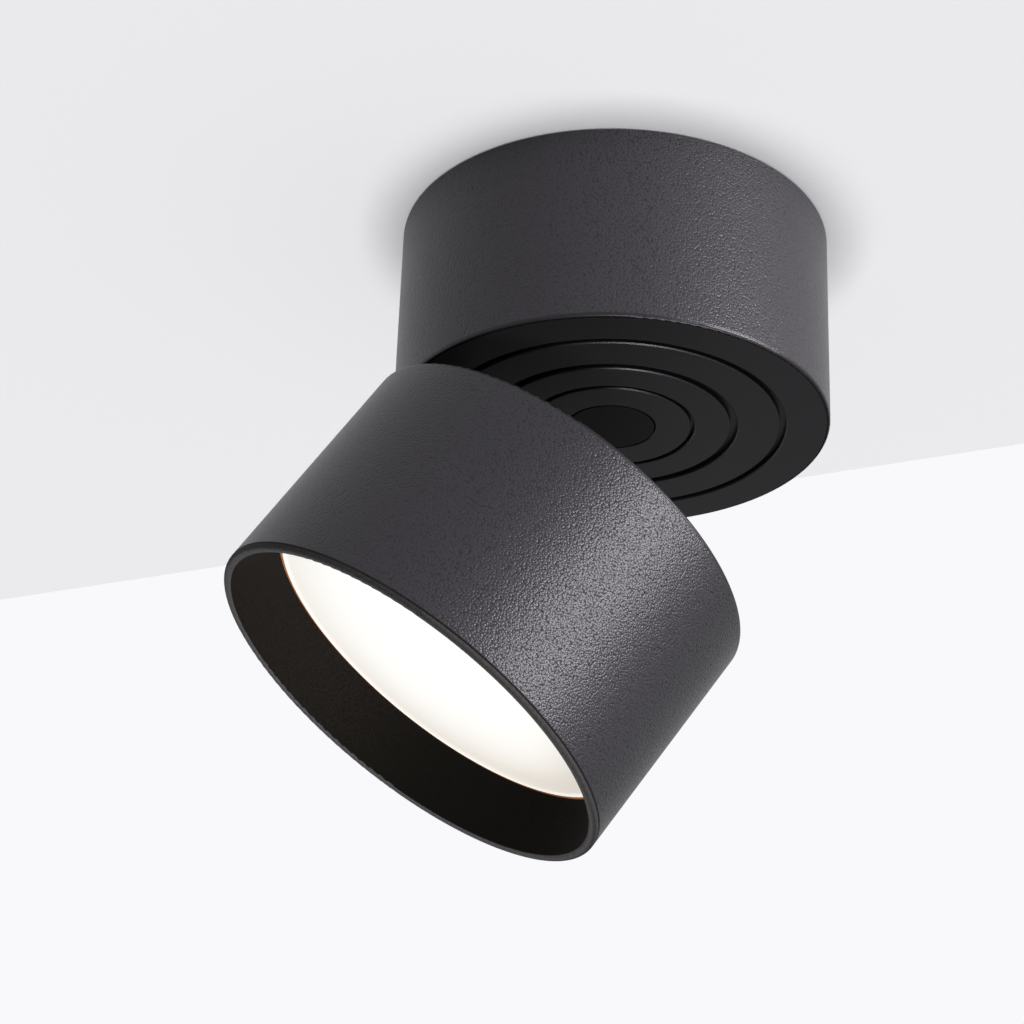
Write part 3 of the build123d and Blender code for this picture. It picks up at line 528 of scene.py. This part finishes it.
class HousingSettings(bpy.types.PropertyGroup):
    """Powder coat of the base, the head and the hinge arm."""

    coat_colour: FloatVectorProperty(
        name="Coat colour", description="Colour of the powder coat", subtype="COLOR",
        default=(0.0125, 0.0118, 0.0135), min=0.0, max=1.0)
    # Painted shade: a darker copy of the coat colour for the flat faces, such as the shaded underside.
    flat_painted_shade: FloatVectorProperty(
        name="Flat colour", description="Colour of the coat on the flat faces", subtype="COLOR",
        default=(0.0042, 0.0041, 0.0044), min=0.0, max=1.0)
    coat_sheen: FloatVectorProperty(
        name="Coat sheen", description="Tint of the coat's reflections", subtype="COLOR",
        default=(0.965, 0.905, 1.0), min=0.0, max=1.0)
    coat_roughness: FloatProperty(
        name="Coat roughness", description="Roughness of the powder coat",
        default=0.40, min=0.0, max=1.0, subtype="FACTOR")
    coat_gloss: FloatProperty(
        name="Coat gloss", description="Strength of its reflections",
        default=0.36, min=0.0, max=1.0, subtype="FACTOR")
    grain_size: FloatProperty(
        name="Grain size", description="Size of a pebble in the coat", default=0.0005, unit="LENGTH")
    grain_depth: FloatProperty(
        name="Grain depth", description="Depth of a pebble in the coat", default=0.0001, unit="LENGTH")
    speck_size: FloatProperty(
        name="Speck size", description="Size of the fine specks", default=0.0003, unit="LENGTH")
    speck_depth: FloatProperty(
        name="Speck depth", description="Depth of the specks in the matt bore",
        default=0.00008, unit="LENGTH")
    cloud_size: FloatProperty(
        name="Cloud size", description="Size of the uneven tone", default=0.03, unit="LENGTH")
    wall_start: FloatProperty(
        name="Wall start", description="Distance from the axis where the pebbles begin",
        default=0.0485, unit="LENGTH")
    wall_full: FloatProperty(
        name="Wall full", description="Distance from the axis where the pebbles are full",
        default=0.0495, unit="LENGTH")
    edge_round: FloatProperty(
        name="Edge rounding", description="Radius of the rounded edge that has no pebbles",
        default=0.0008, unit="LENGTH")
    edge_blur: FloatProperty(
        name="Edge blur", description="Half of the width over which one coat turns into the next",
        default=0.00006, unit="LENGTH")
    turn_height: FloatProperty(
        name="Turn height", description="Height above the underside up to which the base's edge is dull",
        default=0.00014, unit="LENGTH")
    head_length: FloatProperty(
        name="Head length", description="Length of the head from its back to its lip",
        default=0.0564, unit="LENGTH")
    # Painted sheen: the lip's dull coat is made a lighter grey than the coat, to stand in for its
    # reflections.
    lip_painted_sheen: FloatVectorProperty(
        name="Lip colour", description="Colour of the dull coat on the mouth's lip", subtype="COLOR",
        default=(0.118, 0.113, 0.116), min=0.0, max=1.0)
    lip_roughness: FloatProperty(
        name="Lip roughness", description="Roughness of the lip",
        default=0.70, min=0.0, max=1.0, subtype="FACTOR")
    lip_radius: FloatProperty(
        name="Lip radius", description="Radius where the lip ends and the bore begins",
        default=0.0479, unit="LENGTH")
    lip_place: FloatProperty(
        name="Lip place", description="Distance from the diffuser's middle to the front of the lip",
        default=0.0182, unit="LENGTH")
    # Painted shade: the lip's rounded outer edge is darkened.
    rim_painted_shade: FloatVectorProperty(
        name="Rim colour", description="Colour of the lip's rounded outer edge", subtype="COLOR",
        default=(0.042, 0.040, 0.041), min=0.0, max=1.0)
    rim_start: FloatProperty(
        name="Rim start", description="Distance from the axis where the lip begins to darken",
        default=0.0488, unit="LENGTH")
    rim_full: FloatProperty(
        name="Rim full", description="Distance from the axis where the lip has the rim's colour",
        default=0.0497, unit="LENGTH")
    # Painted shade: the dark line is the painted shadow of a seam between the lip and the wall.
    line_start: FloatProperty(
        name="Line start", description="How far behind the lip's front the dark line begins",
        default=0.0010, unit="LENGTH")
    line_end: FloatProperty(
        name="Line end", description="How far behind the lip's front the dark line ends",
        default=0.0014, unit="LENGTH")
    bore_colour: FloatVectorProperty(
        name="Bore colour", description="Colour of the matt bore in front of the diffuser", subtype="COLOR",
        default=(0.0074, 0.0066, 0.0054), min=0.0, max=1.0)
    # Painted light: the bore is lighter toward the hinge, from bore dark to bore light.
    bore_painted_light: FloatVectorProperty(
        name="Bore at the hinge", description="Colour of the matt bore on the hinge's side", subtype="COLOR",
        default=(0.017, 0.0141, 0.0120), min=0.0, max=1.0)
    bore_dark: FloatProperty(
        name="Bore dark", description="Place toward the hinge where the bore begins to be lighter",
        default=-0.01, unit="LENGTH")
    bore_light: FloatProperty(
        name="Bore light", description="Place toward the hinge where the bore is lightest",
        default=0.042, unit="LENGTH")
    bore_roughness: FloatProperty(
        name="Bore roughness", description="Roughness of the matt bore",
        default=0.75, min=0.0, max=1.0, subtype="FACTOR")
    bore_gloss: FloatProperty(
        name="Bore gloss", description="Strength of the bore's reflections",
        default=0.03, min=0.0, max=1.0, subtype="FACTOR")
    # Painted light: the amber band on the bore in front of the lit diffuser.
    painted_glow_colour: FloatVectorProperty(
        name="Amber", description="Colour of the bore beside the lit diffuser", subtype="COLOR",
        default=(0.35, 0.13, 0.04), min=0.0, max=1.0)
    painted_glow_place: FloatProperty(
        name="Amber place", description="How far in front of the diffuser's middle the amber ends",
        default=0.0027, unit="LENGTH")


class DiffuserSettings(bpy.types.PropertyGroup):
    """Opal diffuser in the mouth of the head."""

    radius: FloatProperty(
        name="Radius", description="Radius of the diffuser", default=0.0456, unit="LENGTH")
    thickness: FloatProperty(
        name="Thickness", description="Thickness at the edge", default=0.0036, unit="LENGTH")
    seat_depth: FloatProperty(
        name="Seat depth", description="Thickness of the diffuser in its seat", default=0.002, unit="LENGTH")
    dome_rise: FloatProperty(
        name="Dome rise", description="How far the middle stands proud", default=0.0012, unit="LENGTH")
    lip_width: FloatProperty(
        name="Lip width", description="Width of the raised lip", default=0.0014, unit="LENGTH")
    lip_rise: FloatProperty(
        name="Lip rise", description="Height of the raised lip", default=0.0004, unit="LENGTH")
    cloud_size: FloatProperty(
        name="Cloud size", description="Size of the uneven glow", default=0.02, unit="LENGTH")
    roughness: FloatProperty(
        name="Roughness", description="Roughness of the opal plastic",
        default=0.31, min=0.0, max=1.0, subtype="FACTOR")
    body_colour: FloatVectorProperty(
        name="Body colour", description="Colour of the opal plastic", subtype="COLOR",
        default=(0.35, 0.345, 0.33), min=0.0, max=1.0)
    glow_colour: FloatVectorProperty(
        name="Glow colour", description="Colour of the glow in the middle", subtype="COLOR",
        default=(1.0, 0.985, 0.955), min=0.0, max=1.0)
    edge_colour: FloatVectorProperty(
        name="Edge glow", description="Colour of the glow at the edge", subtype="COLOR",
        default=(0.78, 0.725, 0.65), min=0.0, max=1.0)
    glow_strength: FloatProperty(
        name="Glow strength", description="Strength of the glow, where 1 is white", default=0.86, min=0.0)
    glow_shift: FloatProperty(
        name="Glow shift", description="How far the brightest point lies toward the hinge",
        default=0.006, unit="LENGTH")


class FinishSettings(bpy.types.PropertyGroup):
    """Metal, plastic and board finishes of the pieces inside."""

    metal_roughness: FloatProperty(
        name="Metal roughness", description="Roughness of bare metal",
        default=0.34, min=0.1, max=1.0, subtype="FACTOR")
    metal_grain: FloatProperty(
        name="Metal grain", description="Size of the metal's grain", default=0.0006, unit="LENGTH")
    metal_depth: FloatProperty(
        name="Metal depth", description="Depth of the metal's grain", default=0.00001, unit="LENGTH")
    skin_roughness: FloatProperty(
        name="Skin roughness", description="Roughness of moulded plastic",
        default=0.5, min=0.1, max=1.0, subtype="FACTOR")
    skin_size: FloatProperty(
        name="Skin size", description="Size of the skin texture", default=0.0007, unit="LENGTH")
    skin_depth: FloatProperty(
        name="Skin depth", description="Depth of the skin texture", default=0.00002, unit="LENGTH")
    # Painted shade: the centre cap is darkened below its slot's colour, as it sits on the shaded underside.
    cap_painted_shade: FloatProperty(
        name="Cap tone", description="Tone of the centre cap against its slot's colour",
        default=0.22, min=0.0)
    board_roughness: FloatProperty(
        name="Board roughness", description="Roughness of a board",
        default=0.35, min=0.1, max=1.0, subtype="FACTOR")
    track_size: FloatProperty(
        name="Track size", description="Size of the copper areas on a board", default=0.006, unit="LENGTH")
    phosphor_roughness: FloatProperty(
        name="Phosphor roughness", description="Roughness of the LED chips",
        default=0.475, min=0.1, max=1.0, subtype="FACTOR")
    cloud_size: FloatProperty(
        name="Cloud size", description="Size of the uneven tone", default=0.02, unit="LENGTH")


class StageSettings(bpy.types.PropertyGroup):
    """Ceiling, background, lamps and camera."""

    ceiling_colour: FloatVectorProperty(
        name="Ceiling colour", description="Colour of the ceiling", subtype="COLOR",
        default=(0.80, 0.80, 0.815), min=0.0, max=1.0)
    ceiling_lift: FloatProperty(
        name="Ceiling lift", description="Brightness seen on top of the lit ceiling", default=0.12, min=0.0)
    ceiling_left: FloatVectorProperty(
        name="Ceiling left", description="A point on the line where the ceiling ends", subtype="TRANSLATION",
        default=(-0.16025, 0.22938, 0.0), unit="LENGTH")
    ceiling_right: FloatVectorProperty(
        name="Ceiling right", description="Another point on that line", subtype="TRANSLATION",
        default=(0.12058, 0.08019, 0.0), unit="LENGTH")
    ceiling_drop: FloatProperty(
        name="Ceiling drop", description="How far the ceiling is drawn down, to close the base's gap",
        default=0.0005, unit="LENGTH")
    ceiling_reach: FloatProperty(
        name="Ceiling reach", description="How far the ceiling goes each way", default=4.0, unit="LENGTH")
    ceiling_cloud: FloatProperty(
        name="Ceiling cloud", description="Size of the uneven tone of the ceiling",
        default=0.4, unit="LENGTH")
    wall_colour: FloatVectorProperty(
        name="Wall colour", description="Colour of the background", subtype="COLOR",
        default=(0.945, 0.945, 0.965), min=0.0, max=1.0)
    room_light: FloatProperty(
        name="Room light", description="Strength of the light from all round", default=0.20, min=0.0)
    floor_reflection: FloatProperty(
        name="Floor reflection", description="Brightness of reflections of what lies below",
        default=0.30, min=0.0)
    floor_way: FloatVectorProperty(
        name="Floor way", description="Way in which reflections darken", subtype="DIRECTION",
        default=(0.25, 0.15, -0.95))
    floor_begins: FloatProperty(
        name="Floor begins", description="How far a reflection leans that way when it begins to darken",
        default=-0.15)
    floor_full: FloatProperty(
        name="Floor full", description="How far a reflection leans that way when it is darkest",
        default=0.45)
    key_power: FloatProperty(
        name="Key power", description="Power of the large lamp on the right", default=16.5, unit="POWER")
    key_place: FloatVectorProperty(
        name="Key place", description="Where the large lamp hangs", subtype="TRANSLATION",
        default=(0.78, -0.62, -0.13), unit="LENGTH")
    key_width: FloatProperty(
        name="Key width", description="Width of the large lamp", default=0.5, unit="LENGTH")
    key_height: FloatProperty(
        name="Key height", description="Height of the large lamp", default=0.22, unit="LENGTH")
    side_power: FloatProperty(
        name="Side power", description="Power of the lamp that lights the base from the right",
        default=5.0, unit="POWER")
    side_place: FloatVectorProperty(
        name="Side place", description="Where the lamp for the base hangs", subtype="TRANSLATION",
        default=(0.66, -0.46, -0.06), unit="LENGTH")
    side_width: FloatProperty(
        name="Side width", description="Width of the lamp for the base", default=0.3, unit="LENGTH")
    side_height: FloatProperty(
        name="Side height", description="Height of the lamp for the base", default=0.1, unit="LENGTH")
    rim_power: FloatProperty(
        name="Rim power", description="Power of the lamp behind on the left", default=0.6, unit="POWER")
    rim_place: FloatVectorProperty(
        name="Rim place", description="Where the lamp behind hangs", subtype="TRANSLATION",
        default=(-0.75, 0.60, -0.25), unit="LENGTH")
    front_power: FloatProperty(
        name="Front power", description="Power of the small lamp below the camera",
        default=7.0, unit="POWER")
    front_place: FloatVectorProperty(
        name="Front place", description="Where the small lamp stands", subtype="TRANSLATION",
        default=(0.18, -0.52, -0.90), unit="LENGTH")
    front_width: FloatProperty(
        name="Front width", description="Width of the small lamp", default=0.36, unit="LENGTH")
    front_height: FloatProperty(
        name="Front height", description="Height of the small lamp", default=0.20, unit="LENGTH")
    wash_power: FloatProperty(
        name="Wash power", description="Power of the lamp that lights the ceiling",
        default=49.0, unit="POWER")
    wash_place: FloatVectorProperty(
        name="Wash place", description="Where the lamp for the ceiling stands", subtype="TRANSLATION",
        default=(0.0, 0.13, -2.5), unit="LENGTH")
    wash_size: FloatProperty(
        name="Wash size", description="Width of the lamp for the ceiling", default=1.1, unit="LENGTH")
    camera_place: FloatVectorProperty(
        name="Camera place", description="Where the camera stands", subtype="TRANSLATION",
        default=(-0.06678, -0.54925, -0.34630), unit="LENGTH")
    camera_aim: FloatVectorProperty(
        name="Camera aim", description="Point that the camera looks at", subtype="TRANSLATION",
        default=(-0.01298, 0.11105, -0.01659), unit="LENGTH")
    camera_roll: FloatProperty(
        name="Camera roll", description="Turn of the camera about its view",
        default=math.radians(2.114), unit="ROTATION")
    camera_lens: FloatProperty(
        name="Lens", description="Focal length in millimetres on the sensor",
        default=96.27, min=1.0, unit="CAMERA")
    camera_sensor: FloatProperty(
        name="Sensor", description="Width of the camera's sensor in millimetres",
        default=36.0, min=1.0, unit="CAMERA")
    camera_near: FloatProperty(
        name="Nearest", description="Nearest distance that the camera shows", default=0.01, unit="LENGTH")
    camera_far: FloatProperty(
        name="Farthest", description="Farthest distance that the camera shows", default=50.0, unit="LENGTH")


class SPOTLIGHT_OT_coat_housings(bpy.types.Operator):
    """Powder coat on the base's shell, the head's shell and the hinge arm"""

    bl_idname = "spotlight.coat_housings"
    bl_label = "Coat the housings"

    def execute(self, context):
        settings = context.scene.spotlight_housing
        low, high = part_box("diffuser")
        give(["base_shell", "hinge_arm"], base_coat(settings))
        give(["head_shell"], head_coat(settings, (low + high) / 2))
        return {"FINISHED"}


class SPOTLIGHT_OT_make_diffuser(bpy.types.Operator):
    """Domed opal diffuser with a raised lip, in place of the flat solid"""

    bl_idname = "spotlight.make_diffuser"
    bl_label = "Make the diffuser"

    def execute(self, context):
        settings = context.scene.spotlight_diffuser
        low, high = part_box("diffuser")
        centre = np.array((low + high) / 2)
        front_rings = 90
        back_rings = 12
        segments = 192

        # The front is a parabola with a second, narrow one for the lip. Its rings lie closer at the edge.
        behind = -settings.seat_depth / 2
        edge = behind + settings.thickness
        across = settings.radius * np.sin(np.linspace(0.0, np.pi / 2, front_rings))
        half_lip = settings.lip_width / 2
        lip_place = (across - (settings.radius - half_lip)) / half_lip
        lip = settings.lip_rise * np.clip(1.0 - lip_place**2, 0.0, None)
        front = edge + settings.dome_rise * (1.0 - (across / settings.radius) ** 2) + lip
        radius = np.concatenate((across, np.linspace(settings.radius, 0.0, back_rings)))
        along = np.concatenate((front, np.full(back_rings, behind)))

        piece = turned_piece("opal_diffuser", radius, along, centre, segments)
        piece.data.materials.append(opal(settings, centre))
        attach(piece, "head")
        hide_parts("diffuser")
        return {"FINISHED"}


class SPOTLIGHT_OT_finish_ceiling_mount(bpy.types.Operator):
    """Plated steel, rubber and nylon of the ceiling plate and the pan bearing"""

    bl_idname = "spotlight.finish_ceiling_mount"
    bl_label = "Finish the ceiling mount"

    def execute(self, context):
        finish_slots(frame["record"]["behaviour"]["bodies"]["ceiling_mount"])
        return {"FINISHED"}


class SPOTLIGHT_OT_finish_hinge(bpy.types.Operator):
    """Steel, nylon and rubber of the hinge, and the plastic cap under the base"""

    bl_idname = "spotlight.finish_hinge"
    bl_label = "Finish the hinge and the cap"

    def execute(self, context):
        finish_slots(["hinge_pin", "pin_clip", "hinge_washers", "arm_screws", "lead_grommet"])
        settings = context.scene.spotlight_finishes
        # The cap's tone darkens it below its slot's colour, a painted shade of the underside.
        give(["centre_cap"], moulded("black_plastic", settings, settings.cap_painted_shade))
        return {"FINISHED"}


class SPOTLIGHT_OT_finish_driver(bpy.types.Operator):
    """Plastic, boards, wires and screws of the driver and the terminal block"""

    bl_idname = "spotlight.finish_driver"
    bl_label = "Finish the driver and the wiring"

    def execute(self, context):
        nodes = ["driver_case", "driver_lid", "driver_board", "driver_transformer", "driver_capacitors"]
        nodes += ["driver_screws", "terminal_block", "terminal_screws", "terminal_fixings"]
        nodes += ["neutral_lead", "live_lead", "earth_lead", "earth_screw", "output_lead", "lead_clip"]
        finish_slots(nodes)
        return {"FINISHED"}


class SPOTLIGHT_OT_finish_light_engine(bpy.types.Operator):
    """Aluminium, board, phosphor and plastic of the light engine in the head"""

    bl_idname = "spotlight.finish_light_engine"
    bl_label = "Finish the light engine"

    def execute(self, context):
        nodes = ["heat_sink", "heat_sink_screws", "thermal_pad", "led_board", "led_chips"]
        nodes += ["led_board_screws", "board_connector", "led_lead", "reflector"]
        finish_slots(nodes)
        return {"FINISHED"}


def ceiling_paint(settings):
    """Pale ceiling paint that shows only from below and lets a view from above through."""
    material, tree = new_material("ceiling_paint")
    matt_roughness = 0.9
    matt_gloss = 0.1
    colour = settings.ceiling_colour
    cloud = tree.noise(tree.place(), settings.ceiling_cloud)
    paint = tree.principled({
        "Base Color": tree.uneven(cloud, colour, darkest=0.985, lightest=1.0),
        "Roughness": matt_roughness,
        "Specular IOR Level": matt_gloss,
    })
    lift = tree.node("ShaderNodeEmission", {}, {
        "Color": as_colour(colour),
        "Strength": settings.ceiling_lift * tree.shown_ray(),
    })
    front = tree.node("ShaderNodeAddShader", {}, {0: paint, 1: lift})
    clear = tree.node("ShaderNodeBsdfTransparent", {}, {})
    behind = tree.node("ShaderNodeNewGeometry", {}, {}, "Backfacing")
    tree.surface(tree.either(behind, front, clear))
    return material


def make_ceiling(settings):
    """A flat ceiling that ends on a straight line behind the light."""
    first = np.array(settings.ceiling_left)
    last = np.array(settings.ceiling_right)
    along = (last - first) / np.linalg.norm(last - first)
    toward_camera = np.array((along[1], -along[0], 0.0))
    middle = (first + last) / 2 - settings.ceiling_drop * np.array(pan_axis)
    reach = settings.ceiling_reach
    corners = [middle - reach * along, middle + reach * along]
    corners += [corners[1] + 2 * reach * toward_camera, corners[0] + 2 * reach * toward_camera]
    mesh = bpy.data.meshes.new("ceiling")
    mesh.from_pydata([tuple(corner) for corner in corners], [], [(0, 1, 2, 3)])
    mesh.materials.append(ceiling_paint(settings))
    ceiling = bpy.data.objects.new("ceiling", mesh)
    bpy.context.scene.collection.objects.link(ceiling)
    return ceiling


def make_room(settings):
    """A background that is white to the camera and in reflections, and softer as a light."""
    room = bpy.data.worlds.new("room")
    room.use_nodes = True
    tree = Tree(room.node_tree)
    way = tree.node("ShaderNodeTexCoord", {}, {}, "Generated")
    lean = tree.vector("DOT_PRODUCT", way, tuple(settings.floor_way), "Value")
    glossy_ray = tree.node("ShaderNodeLightPath", {}, {}, "Is Glossy Ray")
    sinking = tree.between(lean, settings.floor_begins, settings.floor_full)
    below = glossy_ray * sinking * (1.0 - settings.floor_reflection)
    strength = settings.room_light + (1.0 - settings.room_light) * tree.shown_ray() - below
    sockets = {"Color": as_colour(settings.wall_colour), "Strength": strength}
    wall = tree.node("ShaderNodeBackground", {}, sockets)
    tree.node("ShaderNodeOutputWorld", {}, {"Surface": wall})
    bpy.context.scene.world = room


def add_lamp(name, place, aim, size, power, receivers):
    """A soft lamp at a place, turned toward a point, unseen by the camera and lighting only some objects."""
    data = bpy.data.lights.new(name, "AREA")
    data.shape = "RECTANGLE"
    data.size, data.size_y = size
    data.energy = power
    lamp = bpy.data.objects.new(name, data)
    lamp.location = place
    lamp.rotation_euler = (Vector(aim) - Vector(place)).to_track_quat("-Z", "Y").to_euler()
    lamp.visible_camera = False
    lamp.light_linking.receiver_collection = receivers
    bpy.context.scene.collection.objects.link(lamp)
    return lamp


def link_group(name, piece, state):
    """A collection of one piece that lamps are linked to or kept from."""
    group = bpy.data.collections.new(name)
    group.objects.link(piece)
    for entry in group.collection_objects:
        entry.light_linking.link_state = state
    return group


def make_lamps(settings, ceiling):
    """Three lamps for the light, one more for its base alone, and one for the ceiling alone."""
    not_ceiling = link_group("not_the_ceiling", ceiling, "EXCLUDE")
    only_ceiling = link_group("the_ceiling", ceiling, "INCLUDE")
    only_base = link_group("the_base", frame["nodes"]["base_shell"], "INCLUDE")
    middle = (cad_box[0] + cad_box[1]) / 2
    key_size = (settings.key_width, settings.key_height)
    front_size = (settings.front_width, settings.front_height)
    side_size = (settings.side_width, settings.side_height)
    wash_size = (settings.wash_size, settings.wash_size)
    add_lamp("key_lamp", settings.key_place, middle, key_size, settings.key_power, not_ceiling)
    add_lamp("rim_lamp", settings.rim_place, middle, key_size, settings.rim_power, not_ceiling)
    add_lamp("front_lamp", settings.front_place, middle, front_size, settings.front_power, not_ceiling)
    add_lamp("side_lamp", settings.side_place, middle, side_size, settings.side_power, only_base)
    wash = add_lamp(
        "ceiling_wash", settings.wash_place, origin, wash_size, settings.wash_power, only_ceiling)
    wash.light_linking.blocker_collection = only_base


def make_camera(settings):
    """The camera, turned toward its aim and then rolled about its view."""
    data = bpy.data.cameras.new("camera")
    data.lens = settings.camera_lens
    data.sensor_width = settings.camera_sensor
    data.clip_start = settings.camera_near
    data.clip_end = settings.camera_far
    camera = bpy.data.objects.new("camera", data)
    place = Vector(settings.camera_place)
    level = (Vector(settings.camera_aim) - place).to_track_quat("-Z", "Y")
    camera.location = place
    camera.rotation_mode = "QUATERNION"
    camera.rotation_quaternion = level @ Quaternion((0.0, 0.0, 1.0), settings.camera_roll)
    bpy.context.scene.collection.objects.link(camera)
    bpy.context.scene.camera = camera


class SPOTLIGHT_OT_build_stage(bpy.types.Operator):
    """Ceiling, white background, soft lamps and the camera"""

    bl_idname = "spotlight.build_stage"
    bl_label = "Build the stage"

    def execute(self, context):
        settings = context.scene.spotlight_stage
        context.scene.view_settings.view_transform = "Standard"
        ceiling = make_ceiling(settings)
        make_room(settings)
        make_lamps(settings, ceiling)
        make_camera(settings)
        return {"FINISHED"}


operators = (
    SPOTLIGHT_OT_coat_housings,
    SPOTLIGHT_OT_make_diffuser,
    SPOTLIGHT_OT_finish_ceiling_mount,
    SPOTLIGHT_OT_finish_hinge,
    SPOTLIGHT_OT_finish_driver,
    SPOTLIGHT_OT_finish_light_engine,
    SPOTLIGHT_OT_build_stage,
)
setting_groups = {
    "spotlight_housing": HousingSettings,
    "spotlight_diffuser": DiffuserSettings,
    "spotlight_finishes": FinishSettings,
    "spotlight_stage": StageSettings,
}


class SPOTLIGHT_PT_sidebar(bpy.types.Panel):
    """Steps and settings of the spotlight"""

    bl_idname = "SPOTLIGHT_PT_sidebar"
    bl_label = "Ceiling spotlight"
    bl_space_type = "VIEW_3D"
    bl_region_type = "UI"
    bl_category = "Spotlight"

    def draw(self, context):
        for operator in operators:
            self.layout.operator(operator.bl_idname)
        for group in setting_groups:
            settings = getattr(context.scene, group)
            box = self.layout.box()
            for name in settings.bl_rna.properties.keys():
                if name not in ("rna_type", "name"):
                    box.prop(settings, name)


def register():
    """Register the settings, the operators and the panel."""
    for settings in setting_groups.values():
        bpy.utils.register_class(settings)
    for operator in operators:
        bpy.utils.register_class(operator)
    bpy.utils.register_class(SPOTLIGHT_PT_sidebar)
    for name, settings in setting_groups.items():
        setattr(bpy.types.Scene, name, PointerProperty(type=settings))


def unregister():
    """Undo what register did, in the opposite order."""
    for name in setting_groups:
        delattr(bpy.types.Scene, name)
    bpy.utils.unregister_class(SPOTLIGHT_PT_sidebar)
    for operator in reversed(operators):
        bpy.utils.unregister_class(operator)
    for settings in reversed(setting_groups.values()):
        bpy.utils.unregister_class(settings)


def main():
    """Register the add-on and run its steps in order."""
    register()
    bpy.ops.spotlight.coat_housings()
    bpy.ops.spotlight.make_diffuser()
    bpy.ops.spotlight.finish_ceiling_mount()
    bpy.ops.spotlight.finish_hinge()
    bpy.ops.spotlight.finish_driver()
    bpy.ops.spotlight.finish_light_engine()
    bpy.ops.spotlight.build_stage()


if __name__ == "__main__":
    main()
